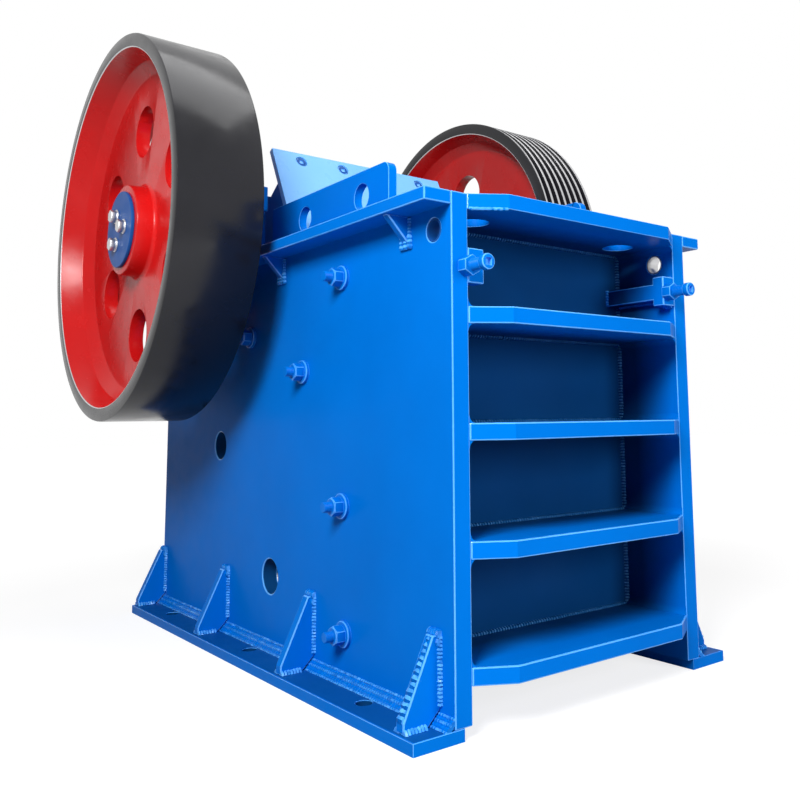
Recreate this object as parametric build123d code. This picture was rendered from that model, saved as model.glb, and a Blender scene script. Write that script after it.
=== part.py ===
from build123d import *
import math
import os

# Welded frame, in millimetres
frame_height = 1600.0
frame_length = 2362.0
inner_width = 994.0
side_thickness = 63.5
wall_thickness = 60.0
rib_thickness = 52.7
flange_thickness = 42.5
flange_overhang = 100.5
front_flange_thickness = 48.0
flange_corner_cut = 110.0
rib_overhang = 71.0
rib_corner_cut = 119.0

# Feet and what stiffens them
foot_thickness = 37.0
foot_overhang = 145.5
foot_lap = 35.0
anchor_hole_diameter = 54.0
anchor_offset = 64.5
gusset_thickness = 38.0
gusset_height = 251.0
weld_cope = 45.0

# Wheels and shaft
wheel_diameter = 1620.0
wheel_width = 329.0
wheel_gap = 181.0
rim_thickness = 82.0
web_thickness = 60.0
web_hole_diameter = 226.0
shaft_diameter = 220.0
journal_diameter = 180.0
housing_wall = 180.0
housing_width = 193.5
head_wall = 130.0
cover_wall = 95.0
boss_wall = 101.0
end_cap_diameter = 326.0
end_cap_thickness = 14.0
belt_grooves = 7
groove_depth = 28.0
running_clearance = 0.05

# Jaws and the chamber between them
jaw_plate_thickness = 90.0
tooth_pitch = 60.0
tooth_depth = 30.0
cheek_thickness = 34.0
cheek_corner = 34.0
guard_thickness = 28.0
jaw_heel_height = 220.0
discharge_gap = 124.0
side_play = 13.0
clamp_play = 6.0

# Fasteners and drive gear
bolt_reach = 112.0
stud_washer = 88.0
stud_flats = 58.0
stud_diameter = 36.0
toggle_thickness = 48.0
toggle_end_diameter = 64.0
rod_diameter = 44.0
spring_length = 132.0
shim_thickness = 38.0

# Places that follow from those sizes
inner = inner_width / 2
outer = inner + side_thickness
flange_edge = outer + flange_overhang
flange_bottom = frame_height - flange_thickness
wheel_radius = wheel_diameter / 2
wheel_in = outer + wheel_gap
wheel_out = wheel_in + wheel_width
shaft_radius = shaft_diameter / 2
journal_radius = journal_diameter / 2
shaft_y = frame_length * 0.7252
shaft_z = frame_height * 1.0785
wall_front = frame_length * 0.1185
wall_back = wall_front + wall_thickness
fixed_face = wall_back + jaw_plate_thickness + clamp_play
swing_half = inner - cheek_thickness - side_play
housing_radius = shaft_radius + housing_wall
housing_half = housing_radius + 53.0
head_radius = shaft_radius + head_wall
seat_back = shaft_y + housing_half + 54.0
rod_reach = frame_length + spring_length
wheel_back = shaft_y + wheel_radius
middle_y = (max(wheel_back, rod_reach) - bolt_reach) / 2


def save(node, shape):
    export_step(Pos(0, -middle_y, 0) * shape, "parts/" + node + ".step")


def both(node, shape):
    save(node + "_right", shape)
    save(node + "_left", mirror(shape, Plane.YZ))


def pair(node, solids):
    twins = [mirror(solid, Plane.YZ) for solid in solids]
    save(node, Compound(solids + twins))


def side_prism(points, x0, x1):
    face = make_face(Polyline(*points, close=True))
    return extrude(Plane.YZ.offset(x0) * face, x1 - x0)


def level_prism(points, z0, z1):
    face = make_face(Polyline(*points, close=True))
    return extrude(Plane.XY.offset(z0) * face, z1 - z0)


def front_prism(points, y0, y1):
    face = make_face(Polyline(*points, close=True))
    return extrude(Plane(origin=(0, y0, 0), x_dir=(1, 0, 0), z_dir=(0, -1, 0)) * face, y0 - y1)


def block(x0, x1, y0, y1, z0, z1):
    return Pos((x0 + x1) / 2, (y0 + y1) / 2, (z0 + z1) / 2) * Box(x1 - x0, y1 - y0, z1 - z0)


def rod_x(radius, x0, x1, y, z):
    return Pos((x0 + x1) / 2, y, z) * Rot(0, 90, 0) * Cylinder(radius, x1 - x0)


def rod_y(radius, x, y0, y1, z):
    return Pos(x, (y0 + y1) / 2, z) * Rot(90, 0, 0) * Cylinder(radius, y1 - y0)


def hex_x(flats, x0, x1, y, z):
    face = RegularPolygon(flats / 2, 6, major_radius=False)
    return extrude(Plane.YZ.offset(x0) * Pos(y, z) * face, x1 - x0)


def hex_y(flats, x, y0, y1, z):
    face = RegularPolygon(flats / 2, 6, major_radius=False)
    plane = Plane(origin=(x, y1, z), x_dir=(1, 0, 0), z_dir=(0, -1, 0))
    return extrude(plane * face, y1 - y0)


def edges_along_x(shape, y, z):
    found = shape.edges().filter_by(Axis.X)
    return [e for e in found if abs(e.center().Y - y) < 0.01 and abs(e.center().Z - z) < 0.01]


os.makedirs("parts", exist_ok=True)

# Side plates with the bearing seat cut into the top edge
rear_edge_height = frame_height * 0.64
side_outline = [
    (0, foot_thickness),
    (frame_length, foot_thickness),
    (frame_length, rear_edge_height),
    (seat_back, flange_bottom),
    (seat_back, frame_height),
    (0, frame_height),
]
rear_hole_radius = 60.0
access_hole_radius = 67.0
sling_hole_radius = 37.0
side = side_prism(side_outline, inner, outer)
side -= rod_x(housing_radius, inner, outer, shaft_y, shaft_z)
side -= rod_x(rear_hole_radius, inner, outer, frame_length * 0.7168, frame_height * 0.503)
side -= rod_x(access_hole_radius, inner, outer, frame_length * 0.5008, frame_height * 0.192)
side -= rod_x(sling_hole_radius, inner, outer, frame_length * 0.0381, frame_height * 0.9325)
both("side_plate", side)

# Feet with anchor holes
foot_inner = outer - foot_lap
foot_outer = outer + foot_overhang
foot = block(foot_inner, foot_outer, 0, frame_length, 0, foot_thickness)
for share in (0.1617, 0.51375, 0.8658):
    hole = Cylinder(anchor_hole_diameter / 2, foot_thickness * 2)
    foot -= Pos(outer + anchor_offset, frame_length * share, foot_thickness / 2) * hole
both("foot", foot)

# Gussets between the feet and the side plates
gusset_edge = foot_outer - 16.0
gusset_lip = 28.0
gusset_tip = 26.0
gusset_outline = [
    (outer, foot_thickness + weld_cope),
    (outer + weld_cope, foot_thickness),
    (gusset_edge, foot_thickness),
    (gusset_edge, foot_thickness + gusset_lip),
    (outer + gusset_tip, foot_thickness + gusset_height),
    (outer, foot_thickness + gusset_height),
]
gusset_first = 70.0
gusset_last = frame_length - gusset_thickness - 2.0
gussets = []
for i in range(4):
    y = gusset_first + (gusset_last - gusset_first) * i / 3
    gussets.append(front_prism(gusset_outline, y + gusset_thickness, y))
pair("foot_gussets", gussets)

# Front wall and its ribs
lowest_rib_top = frame_height * 0.1231
rib_tops = [frame_height * 0.7813, frame_height * 0.5613, frame_height * 0.3453, lowest_rib_top]
wall_bottom = lowest_rib_top - rib_thickness
wall_top = frame_height - front_flange_thickness
save("front_wall", block(-inner, inner, wall_front, wall_back, wall_bottom, wall_top))


def shelf_outline(corner_cut, back):
    front = [(corner_cut - inner, -rib_overhang), (inner - corner_cut, -rib_overhang)]
    return [(-inner, 0)] + front + [(inner, 0), (inner, back), (-inner, back)]


for i, top in enumerate(rib_tops):
    rib = level_prism(shelf_outline(rib_corner_cut, wall_front), top - rib_thickness, top)
    save("front_rib_" + str(i + 1), rib)

# Flanges round the top
drain_hole_radius = 57.5
flange = level_prism(shelf_outline(flange_corner_cut, wall_back), wall_top, frame_height)
for x in (-inner * 0.722, inner * 0.722):
    flange -= Pos(x, wall_front - 130, wall_top) * Cylinder(drain_hole_radius, front_flange_thickness * 3)
save("top_flange_front", flange)
side_flange = block(outer, flange_edge, 0, seat_back, flange_bottom, frame_height)
side_flange -= rod_x(housing_radius, outer, flange_edge, shaft_y, shaft_z)
both("top_flange", side_flange)
web_depth = 92.0
web_plate = 30.0
web_inset = 14.0
web_tip = (flange_edge - web_inset, flange_bottom)
web_outline = [(outer, flange_bottom - web_depth), web_tip, (outer, flange_bottom)]
webs = []
for y in (frame_length * 0.093, frame_length * 0.4636, seat_back - web_plate - 10):
    webs.append(front_prism(web_outline, y + web_plate, y))
pair("flange_gussets", webs)

# Brackets and clamp bolts at the front
bracket_width = 63.0
bracket_depth = 50.0
bracket_height = 109.0
clamp_z = frame_height * 0.8563
bracket_low = clamp_z - bracket_height * 0.44
bracket_high = bracket_low + bracket_height
bar_height = 60.0
bar_drop = 26.0
bar_high = bracket_high - bar_drop
bracket = block(inner - bracket_width, inner, 0, bracket_depth, bracket_low, bracket_high)
bracket += block(inner - bracket_width, inner, bracket_depth, wall_front, bar_high - bar_height, bar_high)
pair("clamp_brackets", [bracket])
clamp_flats = 57.0
clamp_nut = 38.0
clamp_head = 24.0
clamp_head_radius = 24.5
clamp_radius = 19.0
clamp_bolts = []
for x in (-outer + 52, outer - 108):
    bolt = hex_y(clamp_flats, x, -clamp_nut, 0, clamp_z)
    bolt += rod_y(clamp_radius, x, clamp_head - bolt_reach, -clamp_nut, clamp_z)
    bolt += rod_y(clamp_head_radius, x, -bolt_reach, clamp_head - bolt_reach, clamp_z)
    clamp_bolts.append(bolt)
save("clamp_bolts", Compound(clamp_bolts))

# Studs that hold the cheek plates, each with a washer and a nut
washer_thickness = 14.0
nut_height = 34.0
stud_end = 32.0
studs = []
for along, height in ((0.2697, 0.8844), (0.3903, 0.6831), (0.2654, 0.385), (0.2578, 0.1206), (0.5876, 0.7875)):
    y = frame_length * along
    z = frame_height * height
    nut_face = outer + washer_thickness
    stud = rod_x(stud_washer / 2, outer, nut_face, y, z)
    stud += hex_x(stud_flats, nut_face, nut_face + nut_height, y, z)
    stud += rod_x(stud_diameter / 2, nut_face + nut_height, nut_face + nut_height + stud_end, y, z)
    studs.append(stud)
pair("side_studs", studs)

# Cheek plates that line the chamber
cheek_foot = frame_height * 0.14
cheek_top = frame_height * 1.134
cheek_front = fixed_face + 3.0
cheek_back = shaft_y - housing_half - 30.0
lifting_hole_radius = 50.0
lifting_hole_drop = 96.0
cheek_outline = [
    (cheek_front, cheek_foot),
    (frame_length * 0.31, cheek_foot),
    (cheek_back, frame_height * 0.86),
    (cheek_back, cheek_top),
    (cheek_front, cheek_top),
]
cheek = side_prism(cheek_outline, inner - cheek_thickness, inner)
cheek = fillet(edges_along_x(cheek, cheek_front, cheek_top), cheek_corner)
for share in (0.2621, 0.4445):
    hole_z = cheek_top - lifting_hole_drop
    cheek -= rod_x(lifting_hole_radius, inner - cheek_thickness, inner, frame_length * share, hole_z)
both("cheek_plate", cheek)


# Row of jaw teeth across a plate
def tooth_row(half, crest, root, back):
    count = int((half - 12) * 2 / tooth_pitch)
    points = [(-half, back), (-half, root)]
    for i in range(count):
        x = (i - count / 2) * tooth_pitch
        points.append((x + tooth_pitch * 0.06, root))
        points.append((x + tooth_pitch * 0.38, crest))
        points.append((x + tooth_pitch * 0.62, crest))
        points.append((x + tooth_pitch * 0.94, root))
    points.append((half, root))
    points.append((half, back))
    return points


# Fixed jaw plate on its ledge behind the front wall
ledge_height = 56.0
ledge_half = inner - cheek_thickness
ledge_top = wall_bottom + ledge_height
save("jaw_ledge", block(-ledge_half, ledge_half, wall_back, fixed_face, wall_bottom, ledge_top))
fixed_points = tooth_row(inner - clamp_play, fixed_face, fixed_face - tooth_depth, wall_back)
save("fixed_jaw_plate", level_prism(fixed_points, ledge_top, frame_height - 14.0))

# Swing jaw line from the discharge gap up to the feed opening
jaw_low = (fixed_face + discharge_gap, frame_height * 0.1625)
jaw_high = (frame_length * 0.4826, frame_height * 0.975)
jaw_run = math.dist(jaw_low, jaw_high)
jaw_up = ((jaw_high[0] - jaw_low[0]) / jaw_run, (jaw_high[1] - jaw_low[1]) / jaw_run)


def jaw_point(along, behind):
    y = jaw_low[0] + jaw_up[0] * along + jaw_up[1] * behind
    z = jaw_low[1] + jaw_up[1] * along - jaw_up[0] * behind
    return (y, z)


swing_plane = Plane(origin=(0, *jaw_low), x_dir=(1, 0, 0), z_dir=(0, *jaw_up))
swing_face = make_face(Polyline(*tooth_row(swing_half, 0, tooth_depth, jaw_plate_thickness), close=True))
save("swing_jaw_plate", extrude(swing_plane * swing_face, jaw_run))

# Guard over the head of the swing jaw
guard_half = inner - cheek_thickness - 3.0
guard_high = (frame_length * 0.6088, frame_height * 1.3263)
guard_low = (jaw_high[0] + 24.0, jaw_high[1] + 30.0)
guard_run = math.dist(guard_low, guard_high)
guard_up = ((guard_high[0] - guard_low[0]) / guard_run, (guard_high[1] - guard_low[1]) / guard_run)


def guard_point(along, behind):
    y = guard_low[0] + guard_up[0] * along + guard_up[1] * behind
    z = guard_low[1] + guard_up[1] * along - guard_up[0] * behind
    return (y, z)


guard_plane = Plane(origin=(0, *guard_low), x_dir=(1, 0, 0), z_dir=(0, *guard_up))
guard = extrude(guard_plane * Pos(0, guard_thickness / 2) * Rectangle(guard_half * 2, guard_thickness), guard_run)
bolt_row = guard_run - 50.0
recess = 14.0
recess_radius = 27.0
socket_head = 11.0
socket_radius = 21.0
socket_bolts = []
for x in (-inner * 0.654, -inner * 0.219, inner * 0.219, inner * 0.654):
    guard -= guard_plane * Pos(x, recess / 2, bolt_row) * Rot(90, 0, 0) * Cylinder(recess_radius, recess)
    head = Pos(x, recess - socket_head / 2, bolt_row) * Rot(90, 0, 0) * Cylinder(socket_radius, socket_head)
    socket_bolts.append(guard_plane * head)
save("jaw_guard", guard)
save("guard_bolts", Compound(socket_bolts))

# Swing jaw casting with a round head, ribs behind and a toggle seat at its foot
jaw_rib = 50.0
jaw_skin = 110.0
jaw_toe = 40.0
toggle_front = (frame_length * 0.42 + 40.0, frame_height * 0.25)
toggle_radius = toggle_end_diameter / 2
seat_play = 0.2
brow_forward = 248.0
brow_rise = 180.0
head_top = math.radians(102)
head_rear = math.radians(-48)
head_top_point = (shaft_y + head_radius * math.cos(head_top), shaft_z + head_radius * math.sin(head_top))
head_rear_point = (shaft_y + head_radius * math.cos(head_rear), shaft_z + head_radius * math.sin(head_rear))
spine = [
    jaw_point(-jaw_toe, jaw_plate_thickness),
    jaw_point(jaw_run, jaw_plate_thickness),
    guard_point(0, guard_thickness),
    guard_point(guard_run * 0.72, guard_thickness),
    (shaft_y - brow_forward, shaft_z + brow_rise),
    head_top_point,
    (shaft_y, shaft_z),
]
heel = [
    (toggle_front[0], toggle_front[1] + 110),
    (toggle_front[0], toggle_front[1] - 90),
    (toggle_front[0] - 120, toggle_front[1] - 160),
]
skin_back = [
    jaw_point(jaw_run - 120, jaw_plate_thickness + jaw_skin),
    jaw_point(-jaw_toe, jaw_plate_thickness + jaw_skin),
]
foot_front = [jaw_point(-jaw_toe, jaw_plate_thickness), jaw_point(jaw_heel_height, jaw_plate_thickness)]
jaw = side_prism(spine + skin_back, -swing_half, swing_half)
jaw += side_prism(foot_front + heel, -swing_half, swing_half)
jaw += rod_x(head_radius, -swing_half, swing_half, shaft_y, shaft_z)
for i in range(5):
    x = (swing_half - jaw_rib / 2) * (i / 2 - 1)
    jaw += side_prism(spine + [head_rear_point] + heel, x - jaw_rib / 2, x + jaw_rib / 2)
jaw -= rod_x(shaft_radius + running_clearance, -swing_half, swing_half, shaft_y, shaft_z)
jaw -= rod_x(toggle_radius + seat_play, -swing_half, swing_half, *toggle_front)
rod_x_place = inner * 0.42
rod_z = frame_height * 0.125
rod_start = toggle_front[0] - 90
lug_half = 34.0
for x in (-rod_x_place, rod_x_place):
    jaw += block(x - lug_half, x + lug_half, rod_start - 110, rod_start, rod_z - 40, toggle_front[1] - 100)
save("swing_jaw", jaw)

# Rear wall, its ribs and the toggle carriage between two guides
rear_inset = 72.0
rear_wall_back = frame_length - rear_inset
rear_wall_front = rear_wall_back - wall_thickness
rear_rib = 40.0
rear_wall = block(-inner, inner, rear_wall_front, rear_wall_back, frame_height * 0.09, frame_height * 0.68)
for x in (-rod_x_place, rod_x_place):
    rear_wall -= rod_y(rod_diameter * 0.8, x, rear_wall_front, rear_wall_back, rod_z)
save("rear_wall", rear_wall)
rear_corner = inner - rear_inset
rear_outline = [
    (-inner, rear_wall_back),
    (inner, rear_wall_back),
    (inner, rear_wall_back + rear_inset * 0.4),
    (rear_corner, frame_length),
    (-rear_corner, frame_length),
    (-inner, rear_wall_back + rear_inset * 0.4),
]
rear_ribs = []
for z in (frame_height * 0.2, frame_height * 0.43, frame_height * 0.655):
    rear_ribs.append(level_prism(rear_outline, z, z + rear_rib))
save("rear_ribs", Compound(rear_ribs))
toggle_back = (frame_length * 0.745, frame_height * 0.345)
carriage_half_height = 115.0
guide_thickness = 45.0
shim_count = 3
carriage_low = toggle_back[1] - carriage_half_height
carriage_high = toggle_back[1] + carriage_half_height
guide_front = toggle_back[0] + 60
guides = [
    block(-inner, inner, guide_front, rear_wall_front, carriage_low - guide_thickness, carriage_low),
    block(-inner, inner, guide_front, rear_wall_front, carriage_high, carriage_high + guide_thickness),
]
save("carriage_guides", Compound(guides))
shim_front = rear_wall_front - shim_count * shim_thickness - 2 * (shim_count - 1)
carriage = block(-swing_half, swing_half, toggle_back[0], shim_front, carriage_low, carriage_high)
carriage -= rod_x(toggle_radius + seat_play, -swing_half, swing_half, *toggle_back)
save("toggle_carriage", carriage)
shims = []
for i in range(shim_count):
    y = shim_front + i * (shim_thickness + 2)
    shims.append(block(-swing_half, swing_half, y, y + shim_thickness, carriage_low, carriage_high))
save("adjusting_shims", Compound(shims))

# Toggle plate with round ends between the two seats
toggle_half = swing_half - 30
span = math.dist(toggle_front, toggle_back)
lean_y = -(toggle_back[1] - toggle_front[1]) / span * toggle_thickness / 2
lean_z = (toggle_back[0] - toggle_front[0]) / span * toggle_thickness / 2
toggle_outline = [
    (toggle_front[0] + lean_y, toggle_front[1] + lean_z),
    (toggle_front[0] - lean_y, toggle_front[1] - lean_z),
    (toggle_back[0] - lean_y, toggle_back[1] - lean_z),
    (toggle_back[0] + lean_y, toggle_back[1] + lean_z),
]
toggle = side_prism(toggle_outline, -toggle_half, toggle_half)
toggle += rod_x(toggle_radius, -toggle_half, toggle_half, *toggle_front)
toggle += rod_x(toggle_radius, -toggle_half, toggle_half, *toggle_back)
save("toggle_plate", toggle)

# Tension rods with springs behind the rear wall
spring_radius = 48.0
spring_seat = 15.0
rods = []
springs = []
for x in (-rod_x_place, rod_x_place):
    spring_end = rear_wall_back + spring_length
    rod = rod_y(rod_diameter / 2, x, rod_start, rod_reach, rod_z)
    rod += rod_y(spring_radius + 4, x, spring_end, spring_end + spring_seat, rod_z)
    rod += hex_y(68, x, spring_end + spring_seat, spring_end + spring_seat + 36, rod_z)
    rods.append(rod)
    spring = rod_y(spring_radius, x, rear_wall_back, spring_end, rod_z)
    spring -= rod_y(spring_radius - 18, x, rear_wall_back, spring_end, rod_z)
    springs.append(spring)
save("tension_rods", Compound(rods))
save("tension_springs", Compound(springs))

# Bearing housings with split caps, nuts and covers
housing_in = inner + 10.0
housing_out = housing_in + housing_width
housing_step = 20.0
joint_rise = 86.0
joint_z = shaft_z + joint_rise
cap_top = frame_height * 1.2
cap_bevel = 36.0
cap_nut_inset = 30.0
housing_outline = [
    (shaft_y - housing_half + housing_step, frame_height),
    (shaft_y + housing_half - housing_step, frame_height),
    (shaft_y + housing_half - housing_step, joint_z),
    (shaft_y - housing_half + housing_step, joint_z),
]
cap_outline = [
    (shaft_y - housing_half, joint_z),
    (shaft_y + housing_half, joint_z),
    (shaft_y + housing_half, cap_top - cap_bevel),
    (shaft_y + housing_half - cap_bevel, cap_top),
    (shaft_y - housing_half, cap_top),
]
bore = rod_x(shaft_radius + running_clearance, housing_in, housing_out, shaft_y, shaft_z)
round_body = rod_x(housing_radius, housing_in, housing_out, shaft_y, shaft_z)
under = block(housing_in, housing_out, shaft_y - housing_half, shaft_y + housing_half, 0, shaft_z)
round_top = round_body - under
housing = side_prism(housing_outline, housing_in, housing_out) - round_top + (round_body & under)
both("bearing_housing", housing - bore)
cap = side_prism(cap_outline, housing_in, housing_out) + round_top
both("bearing_cap", cap - bore)
cap_flats = 42.0
cap_nut = 34.0
cap_nuts = []
for x in (housing_in + cap_nut_inset, housing_out - cap_nut_inset * 1.5):
    for y in (shaft_y - housing_half + cap_nut_inset, shaft_y + housing_half - cap_bevel - cap_nut_inset):
        nut = Pos(x, y, cap_top) * extrude(RegularPolygon(cap_flats / 2, 6, major_radius=False), cap_nut)
        nut += Pos(x, y, cap_top + cap_nut * 1.6) * Cylinder(14, cap_nut * 1.2)
        cap_nuts.append(nut)
pair("bearing_cap_nuts", cap_nuts)
cover_radius = shaft_radius + cover_wall
cover_thickness = 22.0
cover = rod_x(cover_radius, housing_out, housing_out + cover_thickness, shaft_y, shaft_z)
cover -= rod_x(shaft_radius + running_clearance, housing_out, housing_out + cover_thickness, shaft_y, shaft_z)
pair("bearing_covers", [cover])

# Shaft through both wheels
boss_out = wheel_out - 62.0
shaft = rod_x(shaft_radius, -wheel_in, wheel_in, shaft_y, shaft_z)
shaft += rod_x(journal_radius, -boss_out, boss_out, shaft_y, shaft_z)
save("shaft", shaft)

# Wheels turned about the shaft, from points along it and out from it
web_out = wheel_in + wheel_width * 0.573
web_in = web_out - web_thickness
rim_root = wheel_radius - rim_thickness
boss_radius = journal_radius + boss_wall
hole_circle = (rim_root + boss_radius) * 0.4865
rim_flare = 25.0
corner = 42.0
flare = 24.0


def wheel(tread):
    points = [(wheel_in, wheel_radius)] + tread + [
        (wheel_out, wheel_radius),
        (wheel_out, rim_root + rim_flare),
        (web_out + corner, rim_root),
        (web_out + corner * 0.29, rim_root - corner * 0.29),
        (web_out, rim_root - corner),
        (web_out, boss_radius + flare),
        (web_out + flare * 0.19, boss_radius + flare * 0.47),
        (boss_out, boss_radius),
        (boss_out, journal_radius),
        (wheel_in, journal_radius),
        (wheel_in, boss_radius),
        (web_in - flare * 0.19, boss_radius + flare * 0.47),
        (web_in, boss_radius + flare),
        (web_in, rim_root - corner),
        (web_in - corner * 0.29, rim_root - corner * 0.29),
        (web_in - corner, rim_root),
        (wheel_in, rim_root + rim_flare),
    ]
    body = revolve(Plane.XY * make_face(Polyline(*points, close=True)), Axis.X, 360)
    for i in range(6):
        angle = math.radians(30 + i * 60)
        y = hole_circle * math.cos(angle)
        z = hole_circle * math.sin(angle)
        body -= rod_x(web_hole_diameter / 2, web_in - corner, web_out + corner, y, z)
    return Pos(0, shaft_y, shaft_z) * body


save("flywheel", mirror(wheel([]), Plane.YZ))
end_land = 8.5
groove_pitch = (wheel_width - 2 * end_land) / belt_grooves
tread = []
for i in range(belt_grooves):
    x = wheel_in + end_land + groove_pitch * (i + 0.5)
    tread += [
        (x - groove_pitch * 0.34, wheel_radius),
        (x - groove_pitch * 0.21, wheel_radius - groove_depth),
        (x + groove_pitch * 0.21, wheel_radius - groove_depth),
        (x + groove_pitch * 0.34, wheel_radius),
    ]
save("pulley", wheel(tread))

# Caps and bolts on the shaft ends
cap_face = boss_out + end_cap_thickness
both("end_cap", rod_x(end_cap_diameter / 2, boss_out, cap_face, shaft_y, shaft_z))
end_flats = 50.0
end_head = 30.0
end_circle = journal_radius * 0.78
end_bolts = []
for i in range(3):
    angle = math.radians(60 + i * 120)
    y = shaft_y + end_circle * math.cos(angle)
    z = shaft_z + end_circle * math.sin(angle)
    end_bolts.append(hex_x(end_flats, cap_face, cap_face + end_head, y, z))
pair("end_bolts", end_bolts)
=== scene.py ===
import math
import bpy
from mathutils import Matrix, Vector


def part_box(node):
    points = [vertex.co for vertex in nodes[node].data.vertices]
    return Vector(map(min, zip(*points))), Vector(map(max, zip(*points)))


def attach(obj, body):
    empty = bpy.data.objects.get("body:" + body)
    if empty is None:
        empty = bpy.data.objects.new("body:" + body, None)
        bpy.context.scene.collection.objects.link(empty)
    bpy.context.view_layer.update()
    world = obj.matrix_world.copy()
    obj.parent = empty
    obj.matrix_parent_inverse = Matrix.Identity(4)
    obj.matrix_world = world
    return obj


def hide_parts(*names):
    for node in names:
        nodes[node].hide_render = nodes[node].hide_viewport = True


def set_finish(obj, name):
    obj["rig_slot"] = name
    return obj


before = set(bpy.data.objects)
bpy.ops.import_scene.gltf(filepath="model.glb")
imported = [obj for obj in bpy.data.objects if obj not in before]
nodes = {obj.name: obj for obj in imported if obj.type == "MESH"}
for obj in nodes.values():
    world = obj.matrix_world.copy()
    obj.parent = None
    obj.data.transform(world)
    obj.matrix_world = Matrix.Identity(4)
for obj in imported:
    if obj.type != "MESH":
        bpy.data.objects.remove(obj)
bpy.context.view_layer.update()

# The frame is cut from thick steel plate and welded. It is sprayed with blue enamel afterwards, so
# plates, welds and most bolts share one coat with a faint orange peel and a slightly uneven tone.


def coat_group():
    """A shader group for sprayed enamel: an uneven tone, a varying gloss and an orange peel."""
    group = bpy.data.node_groups.new("sprayed_coat", "ShaderNodeTree")
    face = group.interface
    face.new_socket("Colour", in_out="INPUT", socket_type="NodeSocketColor")
    face.new_socket("Shade", in_out="INPUT", socket_type="NodeSocketColor")
    face.new_socket("Gloss", in_out="INPUT", socket_type="NodeSocketFloat")
    face.new_socket("Peel", in_out="INPUT", socket_type="NodeSocketFloat")
    face.new_socket("Grain", in_out="INPUT", socket_type="NodeSocketFloat")
    face.new_socket("Tone", in_out="OUTPUT", socket_type="NodeSocketColor")
    face.new_socket("Roughness", in_out="OUTPUT", socket_type="NodeSocketFloat")
    face.new_socket("Normal", in_out="OUTPUT", socket_type="NodeSocketVector")
    add = group.nodes.new
    link = group.links.new
    given = add("NodeGroupInput")
    out = add("NodeGroupOutput")
    place = add("ShaderNodeTexCoord")
    cloud = add("ShaderNodeTexNoise")
    cloud.inputs["Detail"].default_value = 5.0
    link(place.outputs["Object"], cloud.inputs["Vector"])
    link(given.outputs["Grain"], cloud.inputs["Scale"])
    spread = add("ShaderNodeMapRange")
    spread.inputs["From Min"].default_value = 0.35
    spread.inputs["From Max"].default_value = 0.75
    link(cloud.outputs["Fac"], spread.inputs["Value"])
    tone = add("ShaderNodeMix")
    tone.data_type = "RGBA"
    link(spread.outputs["Result"], tone.inputs["Factor"])
    link(given.outputs["Colour"], tone.inputs["A"])
    link(given.outputs["Shade"], tone.inputs["B"])
    link(tone.outputs["Result"], out.inputs["Tone"])
    speck = add("ShaderNodeTexNoise")
    speck.inputs["Scale"].default_value = 14.0
    speck.inputs["Detail"].default_value = 8.0
    link(place.outputs["Object"], speck.inputs["Vector"])
    sheen = add("ShaderNodeMapRange")
    sheen.inputs["From Min"].default_value = 0.3
    sheen.inputs["From Max"].default_value = 0.7
    sheen.inputs["To Min"].default_value = -0.05
    sheen.inputs["To Max"].default_value = 0.06
    link(speck.outputs["Fac"], sheen.inputs["Value"])
    gloss = add("ShaderNodeMath")
    gloss.operation = "ADD"
    link(sheen.outputs["Result"], gloss.inputs[0])
    link(given.outputs["Gloss"], gloss.inputs[1])
    link(gloss.outputs["Value"], out.inputs["Roughness"])
    peel = add("ShaderNodeTexNoise")
    peel.inputs["Scale"].default_value = 90.0
    peel.inputs["Detail"].default_value = 2.0
    link(place.outputs["Object"], peel.inputs["Vector"])
    bump = add("ShaderNodeBump")
    bump.inputs["Distance"].default_value = 0.0006
    link(given.outputs["Peel"], bump.inputs["Strength"])
    link(peel.outputs["Fac"], bump.inputs["Height"])
    link(bump.outputs["Normal"], out.inputs["Normal"])
    return group


sprayed_coat = coat_group()


def finish(name, colour, shade, gloss, peel, specular, metal=0.0, grain=2.2):
    """A painted or bare surface in one colour, with its tone wandering towards a second one."""
    made = bpy.data.materials.new(name)
    made.use_nodes = True
    shader = made.node_tree.nodes["Principled BSDF"]
    coat = made.node_tree.nodes.new("ShaderNodeGroup")
    coat.node_tree = sprayed_coat
    coat.inputs["Colour"].default_value = colour + (1.0,)
    coat.inputs["Shade"].default_value = shade + (1.0,)
    coat.inputs["Gloss"].default_value = gloss
    coat.inputs["Peel"].default_value = peel
    coat.inputs["Grain"].default_value = grain
    link = made.node_tree.links.new
    link(coat.outputs["Tone"], shader.inputs["Base Color"])
    link(coat.outputs["Roughness"], shader.inputs["Roughness"])
    link(coat.outputs["Normal"], shader.inputs["Normal"])
    shader.inputs["Specular IOR Level"].default_value = specular
    shader.inputs["Metallic"].default_value = metal
    return made


blue = (0.0, 0.165, 0.66)
blue_shade = (0.0, 0.145, 0.59)
blue_paint = finish("blue_enamel", blue, blue_shade, 0.34, 0.2, 0.06)
# Cut edges and chamfers take a paler blue: a painted highlight along them.
edge_highlight_paint = finish("painted_edge_highlight", (0.1, 0.42, 0.95), (0.05, 0.32, 0.9), 0.25, 0.1, 0.6)


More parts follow.
